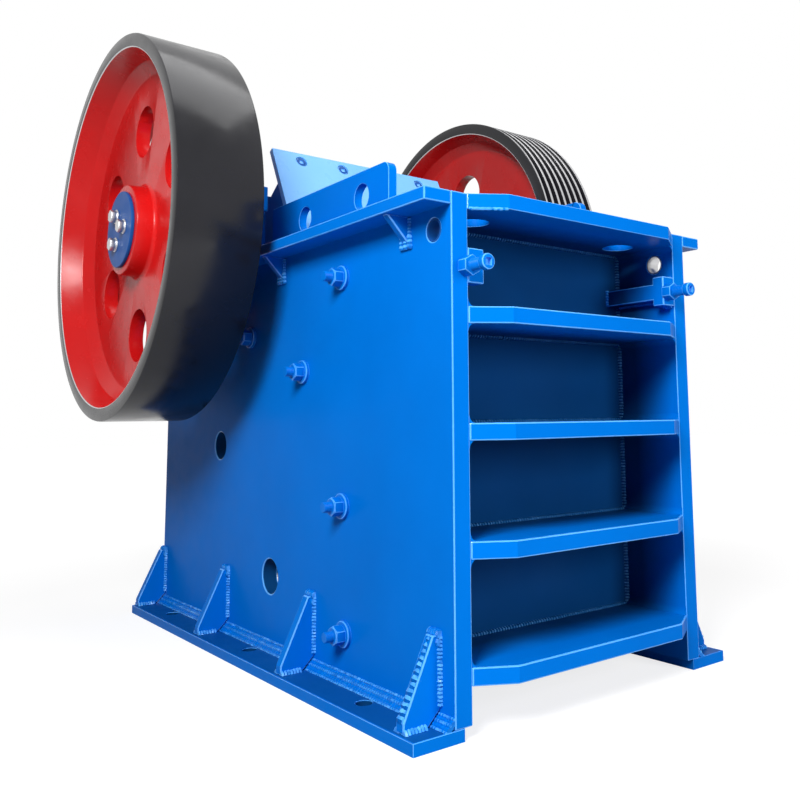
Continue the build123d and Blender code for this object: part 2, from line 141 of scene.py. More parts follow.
def recess_group():
    """A mask of painted shade between the front ribs and in the bores, and of a darker tone on the foot
    tops.
    """
    plate_low, plate_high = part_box("side_plate_right")
    foot_low, foot_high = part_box("foot_right")
    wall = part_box("front_wall")[0].y
    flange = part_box("top_flange_front")[0].z
    group = bpy.data.node_groups.new("recesses", "ShaderNodeTree")
    group.interface.new_socket("Mask", in_out="OUTPUT", socket_type="NodeSocketFloat")
    add = group.nodes.new
    link = group.links.new

    def combine(operation, first, second):
        """One value out of two by a math operation."""
        node = add("ShaderNodeMath")
        node.operation = operation
        link(first, node.inputs[0])
        link(second, node.inputs[1])
        return node.outputs["Value"]

    def within(value, low, high):
        """One between two places and zero elsewhere."""
        node = add("ShaderNodeMath")
        node.operation = "COMPARE"
        link(value, node.inputs[0])
        node.inputs[1].default_value = (low + high) / 2
        node.inputs[2].default_value = (high - low) / 2
        return node.outputs["Value"]

    place = add("ShaderNodeTexCoord")
    axes = add("ShaderNodeSeparateXYZ")
    link(place.outputs["Object"], axes.inputs["Vector"])
    across = add("ShaderNodeMath")
    across.operation = "ABSOLUTE"
    link(axes.outputs["X"], across.inputs[0])
    x, y, z = across.outputs["Value"], axes.outputs["Y"], axes.outputs["Z"]
    lit_rim = 0.03
    full_depth = 0.2
    edge = 0.004
    deep = add("ShaderNodeMapRange")
    deep.inputs["From Min"].default_value = plate_low.y + lit_rim
    deep.inputs["From Max"].default_value = plate_low.y + full_depth
    link(y, deep.inputs["Value"])
    mask = combine("MULTIPLY", deep.outputs["Result"], within(x, -1, plate_low.x + 0.002))
    mask = combine("MULTIPLY", mask, within(y, plate_low.y, wall + edge))
    mask = combine("MULTIPLY", mask, within(z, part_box("front_rib_4")[1].z - edge, flange + 0.002))
    plate_bores = ((plate_low.x + 0.005, plate_high.x - 0.005), (plate_low.y + 0.02, plate_high.y - 0.02),
                   (foot_high.z + 0.02, plate_high.z - 0.06), 1.0)
    foot_x = (plate_high.x + 0.002, foot_high.x - 0.006)
    foot_y = (foot_low.y + 0.006, foot_high.y - 0.006)
    foot_bores = (foot_x, foot_y, (edge, foot_high.z - edge), 1.0)
    foot_tops = (foot_x, foot_y, (foot_high.z - edge, foot_high.z + 0.0015), 0.68)
    for in_x, in_y, in_z, share in (plate_bores, foot_bores, foot_tops):
        bore = combine("MULTIPLY", within(x, *in_x), within(y, *in_y))
        bore = combine("MULTIPLY", bore, within(z, *in_z))
        shaded_share = add("ShaderNodeMath")
        shaded_share.operation = "MULTIPLY"
        shaded_share.inputs[1].default_value = share
        link(bore, shaded_share.inputs[0])
        mask = combine("MAXIMUM", mask, shaded_share.outputs["Value"])
    out = add("NodeGroupOutput")
    link(mask, out.inputs["Mask"])
    return group


# The plates' blue turns to navy between the front ribs and in the bores as painted shade, and two thirds of
# the way on the tops of the feet.
plate_paint = finish("plate_enamel", blue, blue_shade, 0.34, 0.2, 0.02)
painted_shade_blue = (0.004, 0.052, 0.18)
painted_shade_blue_dark = (0.002, 0.042, 0.15)
tree = plate_paint.node_tree
coat = [node for node in tree.nodes if node.type == "GROUP"][0]
recesses = tree.nodes.new("ShaderNodeGroup")
recesses.node_tree = recess_group()
for tone, lit_tone, shaded_tone in (("Colour", blue, painted_shade_blue), ("Shade", blue_shade, painted_shade_blue_dark)):
    mix = tree.nodes.new("ShaderNodeMix")
    mix.data_type = "RGBA"
    mix.inputs["A"].default_value = lit_tone + (1.0,)
    mix.inputs["B"].default_value = shaded_tone + (1.0,)
    tree.links.new(recesses.outputs["Mask"], mix.inputs["Factor"])
    tree.links.new(mix.outputs["Result"], coat.inputs[tone])


def dress(names, paint, edge, rim=None):
    """Gives CAD nodes their finish and softens their cut edges, which can take a paler paint as a painted
    highlight.
    """
    for name in names:
        piece = nodes[name]
        for held in piece.material_slots:
            held.material = paint
        merged = piece.modifiers.new("joined_faces", "WELD")
        merged.merge_threshold = 0.00002
        whole = piece.modifiers.new("whole_faces", "DECIMATE")
        whole.decimate_type = "DISSOLVE"
        whole.angle_limit = math.radians(0.5)
        softened = piece.modifiers.new("softened_edges", "BEVEL")
        softened.width = edge
        softened.segments = 2
        softened.limit_method = "ANGLE"
        softened.angle_limit = math.radians(35)
        if rim:
            piece.data.materials.append(rim)
            softened.material = len(piece.data.materials) - 1
        even = piece.modifiers.new("even_shading", "WEIGHTED_NORMAL")
        even.keep_sharp = True


plates = ["side_plate_left", "side_plate_right", "foot_left", "foot_right", "foot_gussets", "front_wall",
          "front_rib_1", "front_rib_2", "front_rib_3", "front_rib_4", "top_flange_front", "top_flange_left",
          "top_flange_right", "flange_gussets", "clamp_brackets", "cheek_plate_left", "cheek_plate_right",
          "jaw_ledge", "rear_wall", "rear_ribs", "carriage_guides"]
dress(plates, plate_paint, 0.004, edge_highlight_paint)

# The jaw guard is a steel plate that leans over the feed opening and keeps rock off the head of the
# swing jaw. It is bolted on, and its blue is painted paler than the frame's as a painted sheen of
# light on its slope.
guard_sheen_paint = finish("guard_painted_sheen", (0.18, 0.46, 0.9), (0.14, 0.4, 0.84), 0.3, 0.15, 0.2)
dress(["jaw_guard"], guard_sheen_paint, 0.004, edge_highlight_paint)

# The swing jaw, the toggle carriage and the bearing housings with their caps and covers are steel
# castings. Their blue coat is duller and shows the grain of the sand mould.
castings = finish("cast_blue_enamel", (0.0, 0.15, 0.6), (0.0, 0.12, 0.5), 0.42, 1.0, 0.08)
dress(["swing_jaw", "toggle_carriage", "bearing_housing_left", "bearing_housing_right", "bearing_cap_left",
       "bearing_cap_right", "bearing_covers"], castings, 0.005)

# An end cap, a turned steel disc, closes the hub of each wheel. It is painted in a dull dark blue
# and bolted to the end of the shaft.
hub_paint = finish("dull_blue_enamel", (0.008, 0.085, 0.33), (0.004, 0.06, 0.25), 0.45, 0.6, 0.15)
dress(["end_cap_left", "end_cap_right"], hub_paint, 0.004)

# The shaft, the tension rods and the adjusting shims are machined from steel bar and plate and stay
# bare. The shaft carries the swing jaw and both wheels.
steel = finish("bare_steel", (0.62, 0.62, 0.63), (0.5, 0.5, 0.52), 0.34, 0.2, 0.5, 1.0)
dress(["shaft", "tension_rods", "adjusting_shims"], steel, 0.002)

# Blackened hex nuts on studs hold the bearing caps down on their housings. They are forged from
# steel and fitted after the housings are painted.
black_paint = finish("black_enamel", (0.006, 0.006, 0.008), (0.01, 0.01, 0.013), 0.2, 0.1, 0.3)
dress(["bearing_cap_nuts"], black_paint, 0.002)

# Both toothed jaw plates and the toggle plate are castings of hard wear steel. They are replaced
# when worn, so they are never painted, and their skin is dark and rough.
jaw_steel = finish("jaw_steel", (0.11, 0.11, 0.115), (0.07, 0.065, 0.062), 0.5, 0.6, 0.4, 0.6)
dress(["fixed_jaw_plate", "swing_jaw_plate", "toggle_plate"], jaw_steel, 0.003)

# The flywheel and the grooved pulley are iron castings turned on their rims and fixed to the ends of
# the shaft. Their dished webs have six cored holes. They are painted red, with a black tread and
# black end faces.
red_paint = finish("red_enamel", (0.6, 0.009, 0.009), (0.5, 0.006, 0.007), 0.24, 0.25, 0.2)


def active(piece):
    """Makes one piece the only selected one."""
    bpy.ops.object.select_all(action="DESELECT")
    piece.select_set(True)
    bpy.context.view_layer.objects.active = piece


def lone_vertex(name, point):
    """A mesh shrunk to one vertex at a point, from which a profile is drawn."""
    bpy.ops.object.select_all(action="DESELECT")
    bpy.ops.mesh.primitive_plane_add(size=0.01)
    piece = bpy.context.object
    piece.name = name
    bpy.ops.object.mode_set(mode="EDIT")
    bpy.ops.mesh.merge(type="CENTER")
    bpy.ops.transform.translate(value=point)
    return piece


def picked(piece, test):
    """In edit mode, selects only the vertices that pass a test."""
    bpy.ops.mesh.select_all(action="DESELECT")
    bpy.ops.object.mode_set(mode="OBJECT")
    for vertex in piece.data.vertices:
        vertex.select = test(vertex)
    bpy.ops.object.mode_set(mode="EDIT")


def turned(name, corners, centre, steps):
    """Draws a closed profile of (along X, radius, rounding), rounds its corners and spins it."""
    along, radius, rounding = corners[0]
    piece = lone_vertex(name, (along, centre.y, centre.z + radius))
    bpy.ops.mesh.select_mode(type="VERT")
    for before, after in zip(corners, corners[1:]):
        step = (after[0] - before[0], 0, after[1] - before[1])
        bpy.ops.mesh.extrude_region_move(TRANSFORM_OT_translate={"value": step})
    picked(piece, lambda vertex: vertex.index in (0, len(corners) - 1))
    bpy.ops.mesh.edge_face_add()
    for along, radius, rounding in corners:
        spot = Vector((along, centre.y, centre.z + radius))
        picked(piece, lambda vertex: (vertex.co - spot).length < 0.0001)
        bpy.ops.mesh.bevel(offset_type="OFFSET", offset=rounding, segments=5 if rounding > 0.015 else 2,
                           affect="VERTICES")
    bpy.ops.mesh.select_all(action="SELECT")
    bpy.ops.mesh.spin(steps=steps, angle=math.tau, center=centre, axis=(1, 0, 0))
    bpy.ops.mesh.select_all(action="SELECT")
    bpy.ops.mesh.remove_doubles(threshold=0.00005)
    bpy.ops.mesh.normals_make_consistent(inside=False)
    bpy.ops.object.mode_set(mode="OBJECT")
    return piece


def wheel(name, node, outward, grooves):
    """A dished wheel with six holes, turned to the CAD wheel's box, with its outer side outward."""
    low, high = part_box(node)
    centre = Vector((0, (low.y + high.y) / 2, (low.z + high.z) / 2))
    radius = (high.z - low.z) / 2
    inside = low.x if outward > 0 else high.x
    wide = high.x - low.x
    web_out = wide * 0.573
    web_in = web_out - 0.06
    root = radius - 0.082
    lip = root + 0.025
    dish_rise = 0.045
    dish = root - 0.042
    boss = 0.191
    boss_foot = boss + 0.006
    boss_face = wide - 0.062
    bore = 0.09
    corners = [(0.0, radius, 0.005)]
    if grooves:
        land = 0.0085
        bottom = radius - 0.028
        pitch = (wide - 2 * land) / grooves
        mouth = pitch * 0.34
        floor = pitch * 0.21
        for i in range(grooves):
            middle = land + pitch * (i + 0.5)
            corners += [(middle - mouth, radius, 0.0012), (middle - floor, bottom, 0.002),
                        (middle + floor, bottom, 0.002), (middle + mouth, radius, 0.0012)]
    corners += [(wide, radius, 0.005), (wide, lip, 0.003), (web_out + dish_rise, root, 0.004),
                (web_out, dish, 0.006), (web_out, boss_foot, 0.018), (boss_face, boss, 0.006),
                (boss_face, bore, 0.002), (0.0, bore, 0.002), (0.0, boss, 0.006),
                (web_in, boss_foot, 0.018), (web_in, dish, 0.006), (web_in - dish_rise, root, 0.004),
                (0.0, lip, 0.003)]
    placed = [(inside + outward * x, r, rounding) for x, r, rounding in corners]
    facets = 144
    piece = turned(name, placed, centre, facets)
    hole_radius = 0.113
    reach = (root + boss) * 0.4865
    drills = []
    for i in range(6):
        angle = math.radians(30 + i * 60)
        spot = (inside + outward * (web_out + web_in) / 2, centre.y + reach * math.cos(angle),
                centre.z + reach * math.sin(angle))
        bpy.ops.object.select_all(action="DESELECT")
        bpy.ops.mesh.primitive_cylinder_add(vertices=48, radius=hole_radius, depth=0.2, location=spot,
                                            rotation=(0, math.pi / 2, 0))
        drills.append(bpy.context.object)
    for drill in drills:
        active(piece)
        cut = piece.modifiers.new("hole", "BOOLEAN")
        cut.object = drill
        cut.operation = "DIFFERENCE"
        bpy.ops.object.modifier_apply(modifier=cut.name)
        bpy.data.objects.remove(drill)
    softened = piece.modifiers.new("hole_edges", "BEVEL")
    softened.width = 0.005
    softened.segments = 3
    softened.limit_method = "ANGLE"
    softened.angle_limit = math.radians(50)
    bpy.ops.object.modifier_apply(modifier=softened.name)
    bpy.ops.object.shade_smooth_by_angle(angle=math.radians(40))
    piece.data.materials.append(red_paint)
    piece.data.materials.append(black_paint)
    piece.data.materials.append(steel)
    # A thin ring of bare steel at the inner edge of each black end face is a painted highlight on that
    # rounded edge.
    for face in piece.data.polygons:
        out = math.hypot(face.center.y - centre.y, face.center.z - centre.z)
        crest = grooves and out > radius - 0.0006
        face.material_index = 2 if crest or abs(out - lip) < 0.003 else int(out > lip)
    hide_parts(node)
    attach(piece, "rotor")
    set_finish(piece, "red_paint")
    return piece


wheel("flywheel_casting", "flywheel", -1, 0)
wheel("pulley_casting", "pulley", 1, 7)

# Steel studs through the side plates hold the cheek plates. Each has a thick round washer, a tall
# hex nut and a threaded end, all painted over with the frame.


def solids(node):
    """The (lowest, highest) corner of each separate solid of a CAD node."""
    parts = nodes[node].copy()
    parts.data = nodes[node].data.copy()
    bpy.context.scene.collection.objects.link(parts)
    active(parts)
    bpy.ops.object.mode_set(mode="EDIT")
    bpy.ops.mesh.select_all(action="SELECT")
    bpy.ops.mesh.remove_doubles(threshold=0.00002)
    bpy.ops.mesh.separate(type="LOOSE")
    bpy.ops.object.mode_set(mode="OBJECT")
    boxes = []
    for part in list(bpy.context.selected_objects):
        found = [vertex.co for vertex in part.data.vertices]
        boxes.append((Vector(map(min, zip(*found))), Vector(map(max, zip(*found)))))
        bpy.data.objects.remove(part)
    return boxes


def drum(name, sides, radius, bottom, top, chamfer):
    """An upright disc, nut or pin from bottom to top, with its end edges bevelled and given the paler blue
    of a painted highlight.
    """
    bpy.ops.object.select_all(action="DESELECT")
    bpy.ops.mesh.primitive_cylinder_add(vertices=sides, radius=radius, depth=top - bottom,
                                        location=(0, 0, (top + bottom) / 2))
    piece = bpy.context.object
    piece.name = name
    bpy.ops.object.transform_apply(location=True, rotation=True, scale=True)
    piece.data.materials.append(blue_paint)
    piece.data.materials.append(edge_highlight_paint)
    softened = piece.modifiers.new("chamfer", "BEVEL")
    softened.width = chamfer
    softened.segments = 2
    softened.material = 1
    softened.limit_method = "ANGLE"
    softened.angle_limit = math.radians(55)
    bpy.ops.object.modifier_apply(modifier=softened.name)
    return piece


def thread(name, radius, bottom, top, pitch):
    """A threaded pin: one ridge drawn out of a circle and repeated up the pin."""
    dip = 0.9
    bpy.ops.object.select_all(action="DESELECT")
    bpy.ops.mesh.primitive_circle_add(vertices=20, radius=radius * dip, location=(0, 0, bottom))
    piece = bpy.context.object
    piece.name = name
    bpy.ops.object.transform_apply(location=True, rotation=True, scale=True)
    bpy.ops.object.mode_set(mode="EDIT")
    for swell in (1 / dip, dip):
        bpy.ops.mesh.extrude_edges_move(TRANSFORM_OT_translate={"value": (0, 0, pitch / 2)})
        bpy.ops.transform.resize(value=(swell, swell, 1), center_override=(0, 0, 0))
    bpy.ops.object.mode_set(mode="OBJECT")
    repeat = piece.modifiers.new("ridges", "ARRAY")
    repeat.count = max(1, round((top - bottom) / pitch))
    repeat.use_relative_offset = False
    repeat.use_constant_offset = True
    repeat.constant_offset_displace = (0, 0, pitch)
    repeat.use_merge_vertices = True
    repeat.merge_threshold = 0.0002
    bpy.ops.object.modifier_apply(modifier=repeat.name)
    bpy.ops.object.mode_set(mode="EDIT")
    bpy.ops.mesh.select_all(action="SELECT")
    bpy.ops.mesh.fill_holes(sides=0)
    bpy.ops.mesh.normals_make_consistent(inside=False)
    bpy.ops.object.mode_set(mode="OBJECT")
    piece.data.materials.append(blue_paint)
    return piece


def joined(name, pieces, paint, slot, rim=None):
    """Joins the parts of one piece and gives it its finish, with another on its chamfers."""
    active(pieces[0])
    for piece in pieces:
        piece.select_set(True)
    bpy.ops.object.join()
    piece = bpy.context.object
    piece.name = name
    while len(piece.data.materials) < 2:
        piece.data.materials.append(paint)
    piece.data.materials[0] = paint
    piece.data.materials[1] = rim or paint
    bpy.ops.object.shade_smooth_by_angle(angle=math.radians(32))
    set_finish(piece, slot)
    return piece


def seats(boxes):
    """The middle of the inner end of each fastener that stands out from the side."""
    spots = []
    for low, high in boxes:
        base = low.x if low.x > 0 else high.x
        spots.append(Vector((base, (low.y + high.y) / 2, (low.z + high.z) / 2)))
    return spots


def sideways(spot):
    """The way out from the side that a spot is on."""
    return math.copysign(1, spot.x), 0, 0


def fitted(model, name, spots, axis_of, body):
    """Puts a copy of a fastener, each with its own mesh, at every spot and drops the model."""
    for i, spot in enumerate(spots):
        twin = model.copy()
        twin.data = model.data.copy()
        twin.name = name + "_" + str(i + 1)
        bpy.context.scene.collection.objects.link(twin)
        twin.rotation_euler = Vector(axis_of(spot)).to_track_quat("Z", "Y").to_euler()
        twin.location = spot
        active(twin)
        bpy.ops.object.transform_apply(location=True, rotation=True, scale=True)
        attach(twin, body)
        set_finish(twin, model["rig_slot"])
        if i == 0:
            first = twin
    bpy.data.objects.remove(model)
    return first


stud_spots = seats(solids("side_studs"))
washer_top = 0.014
nut_top = 0.048
washer = drum("washer", 36, 0.044, 0.0, washer_top, 0.003)
nut = drum("nut", 6, 0.0335, washer_top, nut_top, 0.002)
nut_collar = drum("collar", 28, 0.029, nut_top - 0.002, nut_top + 0.0025, 0.002)
stud_end = thread("end", 0.018, nut_top, 0.08, 0.004)
# The chamfers of washer and nut take the paler blue of a painted edge highlight.
stud = joined("stud", [washer, nut, nut_collar, stud_end], blue_paint, "blue_paint", edge_highlight_paint)
first = fitted(stud, "side_stud", stud_spots, sideways, "frame")
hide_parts("side_studs")

# Two steel clamp bolts draw the fixed jaw plate forward. Each is a hex nut against the bracket, a
# long threaded shank and a round collar with a square key hole in its end, painted with the frame.


def keyed(piece, square, depth):
    """Sinks a square key hole into the top of a collar and gives its walls the second paint, a painted
    highlight.
    """
    active(piece)
    top = max(vertex.co.z for vertex in piece.data.vertices)
    bpy.ops.mesh.primitive_cube_add(size=1, location=(0, 0, top))
    key = bpy.context.object
    key.dimensions = (square, square, depth * 2)
    bpy.ops.object.transform_apply(location=True, rotation=True, scale=True)
    for face in key.data.polygons:
        face.material_index = 1
    active(piece)
    cut = piece.modifiers.new("key_hole", "BOOLEAN")
    cut.object = key
    cut.operation = "DIFFERENCE"
    bpy.ops.object.modifier_apply(modifier=cut.name)
    bpy.data.objects.remove(key)
    return piece


clamp_boxes = solids("clamp_bolts")
clamp_spots = [Vector(((low.x + high.x) / 2, high.y, (low.z + high.z) / 2)) for low, high in clamp_boxes]
clamp_nut_top = 0.038
shank_top = 0.09
clamp_nut = drum("nut", 6, 0.0329, 0.0, clamp_nut_top, 0.002)
shank = thread("shank", 0.019, clamp_nut_top, shank_top, 0.004)
collar = keyed(drum("collar", 36, 0.0245, shank_top - 0.002, 0.112, 0.003), 0.024, 0.014)
# The chamfers and the key hole take the paler blue of a painted highlight.
clamp = joined("clamp", [clamp_nut, shank, collar], blue_paint, "blue_paint", edge_highlight_paint)
first = fitted(clamp, "clamp_bolt", clamp_spots, lambda spot: (0, -1, 0), "frame")
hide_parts("clamp_bolts")

# A turned steel bush lines the sling hole in the front of each side plate and is pressed in flush.
# The right one is left bare and shines, and the left one is given the dull dark blue of the end caps
# as painted shade in its bore.
bush_low, bush_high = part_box("side_plate_right")
sling_radius = 0.0368
sling_y = bush_low.y + 0.09
sling_z = 1.492
for side in (-1, 1):
    bpy.ops.object.select_all(action="DESELECT")
    bpy.ops.mesh.primitive_cylinder_add(vertices=48, radius=sling_radius, depth=bush_high.x - bush_low.x,
                                        end_fill_type="NOTHING", rotation=(0, math.pi / 2, 0),
                                        location=(side * (bush_low.x + bush_high.x) / 2, sling_y, sling_z))
    bush = bpy.context.object
    bpy.ops.object.transform_apply(location=True, rotation=True, scale=True)
    wall = bush.modifiers.new("wall", "SOLIDIFY")
    wall.thickness = 0.005
    bpy.ops.object.modifier_apply(modifier=wall.name)
    rounded = bush.modifiers.new("rounded_mouth", "BEVEL")
    rounded.width = 0.0012
    rounded.segments = 2
    rounded.limit_method = "ANGLE"
    rounded.angle_limit = math.radians(50)
    bpy.ops.object.modifier_apply(modifier=rounded.name)
    if side > 0:
        bush = joined("sling_bush_right", [bush], steel, "plain_steel")
    else:
        bush = joined("sling_bush_left", [bush], hub_paint, "blue_paint")
    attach(bush, "frame")

# Three hex bolts with washers hold each end cap to the shaft. They are bright steel, left bare when
# the wheels were painted, and stand well out of the blue cap.
hub_spots = seats(solids("end_bolts"))
hub_washer = drum("washer", 28, 0.031, 0.0, 0.005, 0.0015)
hub_head = drum("head", 6, 0.0285, 0.004, 0.03, 0.004)
hub = joined("hub", [hub_washer, hub_head], steel, "plain_steel")
first = fitted(hub, "hub_bolt", hub_spots, sideways, "rotor")
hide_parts("end_bolts")

# Four steel socket screws sit in round recesses near the upper edge of the jaw guard and hold it to
# the swing jaw. Their heads are dull blue, and their sockets and chamfers carry the guard's paler
# blue, the same painted sheen.
front_faces = [face for face in nodes["jaw_guard"].data.polygons if face.normal.y < -0.2]
screw_axis = max(front_faces, key=lambda face: face.area).normal.copy()
screw_height = 0.011
screw_spots = [(low + high) / 2 - screw_axis * screw_height / 2 for low, high in solids("guard_bolts")]
screw_head = keyed(drum("head", 36, 0.0245, 0.0, screw_height, 0.002), 0.018, 0.004)
screw = joined("screw", [screw_head], hub_paint, "blue_paint", guard_sheen_paint)
first = fitted(screw, "guard_screw", screw_spots, lambda spot: screw_axis, "frame")
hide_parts("guard_bolts")

# Welds join the plates of the frame. Each seam is a run of overlapping ripples laid in the corner
# and painted over, in three runs side by side with thin ridges where the side plates stand on the
# feet, and in broad rungs down the slope of each front gusset. The crests and small flecks are
# painted a paler blue as painted highlight, the sides of the ripples that look back along a run a
# darker blue as painted shade, and the seams between the front ribs dark navy as painted shade.
weld_highlight_paint = finish("weld_painted_highlight", (0.1, 0.42, 0.92), (0.0, 0.16, 0.6), 0.28, 0.4, 0.2, grain=45.0)
weld_shadow_paint = finish("weld_valley_painted_shade", (0.0, 0.08, 0.36), (0.0, 0.11, 0.46), 0.4, 0.4, 0.05, grain=45.0)
seam_light_shade_paint = finish("seam_painted_light_and_shade", (0.0, 0.2, 0.68), (0.0, 0.12, 0.5), 0.3, 0.4, 0.15, grain=45.0)
inner_weld_shadow_paint = finish("inner_weld_painted_shade", (0.07, 0.22, 0.48), (0.0, 0.06, 0.2), 0.4, 0.4, 0.1, grain=60.0)
inner_valley_shadow_paint = finish("inner_valley_painted_shade", (0.0, 0.055, 0.19), (0.0, 0.045, 0.16), 0.4, 0.4, 0.05,
                      grain=60.0)


def bead(start, end, radius, pitch):
    """One weld run from start to end: a ripple drawn out of a circle, repeated and roughened."""
    way = Vector(end) - Vector(start)
    count = max(2, round(way.length / pitch))
    step = way.length / count
    swell = step * 0.45
    dip = max(0.8, 1 - 0.0028 / radius)
    bpy.ops.object.select_all(action="DESELECT")
    bpy.ops.mesh.primitive_circle_add(vertices=8, radius=radius * dip)
    piece = bpy.context.object
    bpy.ops.object.mode_set(mode="EDIT")
    bpy.ops.mesh.extrude_edges_move(TRANSFORM_OT_translate={"value": (0, 0, swell)})
    bpy.ops.transform.resize(value=(1 / dip, 1 / dip, 1), center_override=(0, 0, 0))
    bpy.ops.mesh.extrude_edges_move(TRANSFORM_OT_translate={"value": (0, 0, step - swell)})
    bpy.ops.transform.resize(value=(dip, dip, 1), center_override=(0, 0, 0))
    bpy.ops.object.mode_set(mode="OBJECT")
    repeat = piece.modifiers.new("ripples", "ARRAY")
    repeat.count = count
    repeat.use_relative_offset = False
    repeat.use_constant_offset = True
    repeat.constant_offset_displace = (0, 0, step)
    repeat.use_merge_vertices = True
    repeat.merge_threshold = 0.0002
    bpy.ops.object.modifier_apply(modifier=repeat.name)
    bpy.ops.object.mode_set(mode="EDIT")
    bpy.ops.mesh.select_all(action="SELECT")
    bpy.ops.mesh.fill_holes(sides=0)
    bpy.ops.mesh.normals_make_consistent(inside=False)
    bpy.ops.transform.vertex_random(offset=radius * 0.14, seed=count)
    bpy.ops.object.mode_set(mode="OBJECT")
    piece.data.materials.append(weld_highlight_paint)
    piece.data.materials.append(weld_shadow_paint)
    # Faces of each ripple that look back along the run take the valley paint, a painted shade.
    for face in piece.data.polygons:
        face.material_index = int(face.normal.z < -0.15 and len(face.vertices) < 5)
    piece.rotation_euler = way.to_track_quat("Z", "Y").to_euler()
    piece.location = start
    bpy.ops.object.transform_apply(location=True, rotation=True, scale=True)
    return piece


def welded(name, runs, crest=weld_highlight_paint, valley=weld_shadow_paint):
    """Joins weld runs, each a (start, end, radius, length of a ripple), into a painted piece."""
    piece = joined(name, [bead(*run) for run in runs], crest, "blue_paint", valley)
    bpy.ops.object.shade_smooth()
    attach(piece, "frame")
    return piece


plate_low, plate_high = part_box("side_plate_right")
foot_low, foot_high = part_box("foot_right")
wall_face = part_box("front_wall")[0].y
rear_low, rear_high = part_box("rear_wall")
inner_face = plate_low.x
outer_face = plate_high.x
foot_top = foot_high.z
front = plate_low.y
seam_front = front + 0.002
seam_back = plate_high.y - 0.002
end_gap = 0.004
for side, word in ((-1, "left"), (1, "right")):
    runs = []
    for out, up in ((0.004, 0.019), (0.012, 0.011), (0.02, 0.003)):
        x = side * (outer_face + out)
        z = foot_top + up
        runs.append(((x, seam_front, z), (x, seam_back, z), 0.011, 0.016))
    welded("side_seams_" + word, runs, seam_light_shade_paint, blue_paint)
    ridges = []
    for out, up, leg in ((0.002, 0.031, 0.005), (0.015, 0.017, 0.006), (0.031, 0.001, 0.005)):
        x = side * (outer_face + out)
        z = foot_top + up
        ridges.append(((x, seam_front, z), (x, seam_back, z), leg, 0.012))
    welded("seam_ridges_" + word, ridges, weld_highlight_paint, seam_light_shade_paint)

gusset_boxes = solids("foot_gussets")
first_y = min(low.y for low, high in gusset_boxes)
sole = foot_top + 0.001
notch = 0.05
for side, word in ((-1, "left"), (1, "right")):
    runs = []
    slopes = []
    for low, high in gusset_boxes:
        if low.x * side > 0:
            toe = side * max(abs(low.x), abs(high.x))
            root = side * outer_face
            for y in (low.y, high.y):
                runs.append(((root + side * notch, y, sole), (toe, y, sole), 0.014, 0.012))
                runs.append(((root, y, foot_top + notch), (root, y, high.z - end_gap), 0.012, 0.011))
            tip = root + side * 0.004
            for z in (high.z - 0.02, high.z + 0.002):
                runs.append(((tip, low.y - 0.008, z), (tip, high.y + 0.008, z), 0.015, 0.012))
            if low.y < first_y + 0.01:
                middle = (low.y + high.y) / 2
                slopes.append(((toe - side * 0.006, middle, foot_top + 0.026),
                               (root + side * 0.014, middle, high.z - 0.01), 0.0185, 0.019))
    welded("gusset_seams_" + word, runs, weld_highlight_paint, seam_light_shade_paint)
    welded("slope_seams_" + word, slopes)

shelf_boxes = [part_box("front_rib_" + str(i)) for i in (4, 3, 2, 1)]
ceilings = [low.z for low, high in shelf_boxes[1:]] + [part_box("top_flange_front")[0].z]
seam_end = inner_face - 0.01
runs = []
for (low, high), ceiling in zip(shelf_boxes, ceilings):
    for side in (-1, 1):
        x = side * inner_face
        runs.append(((x, wall_face, high.z + end_gap), (x, wall_face, ceiling - end_gap), 0.013, 0.011))
    for z, leg in ((high.z, 0.011), (ceiling, 0.012)):
        runs.append(((-seam_end, wall_face, z), (seam_end, wall_face, z), leg, 0.012))
# The seams between the front ribs take dark navy, painted shade.
welded("front_seams", runs, inner_weld_shadow_paint, inner_valley_shadow_paint)

runs = []
for x in (-inner_face, inner_face):
    for y in (rear_low.y, rear_high.y):
        runs.append(((x, y, rear_low.z + end_gap), (x, y, rear_high.z - end_gap), 0.013, 0.01))
for low, high in solids("rear_ribs"):
    for z in (low.z, high.z):
        runs.append(((-seam_end, rear_high.y, z), (seam_end, rear_high.y, z), 0.011, 0.009))
welded("rear_seams", runs)

runs = []
for low, high in solids("clamp_brackets"):
    side = math.copysign(1, low.x)
    near = side * inner_face
    far = side * min(abs(low.x), abs(high.x))
    back = low.y + 0.05
    for z in (low.z, high.z):
        runs.append(((near, low.y + 0.012, z), (near, back, z), 0.008, 0.01))
    arm_top = high.z - 0.026
    arm_foot = high.z - 0.086
    for z in (arm_top, arm_foot):
        runs.append(((near, back, z), (near, high.y, z), 0.008, 0.01))
    runs.append(((far, high.y, arm_foot), (far, high.y, high.z - 0.022), 0.009, 0.011))
for low, high in solids("flange_gussets"):
    side = math.copysign(1, low.x)
    x = side * outer_face
    for y in (low.y, high.y):
        runs.append(((x, y, low.z + end_gap), (x, y, high.z - end_gap), 0.01, 0.01))
    for y in (low.y - 0.006, (low.y + high.y) / 2, high.y + 0.006):
        runs.append(((side * (outer_face + 0.002), y, low.z - 0.012),
                     (side * (outer_face + 0.004), y, low.z + 0.03), 0.012, 0.013))
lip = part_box("top_flange_front")[0]
runs.append(((-inner_face + 0.004, front - 0.002, lip.z), (-inner_face + 0.108, lip.y + 0.004, lip.z),
             0.006, 0.017))
welded("bracket_seams", runs, weld_highlight_paint, seam_light_shade_paint)

# The ends of the front ribs run into the side plates in hollow fillet welds, ground smooth, so the
# openings between the ribs have round corners.


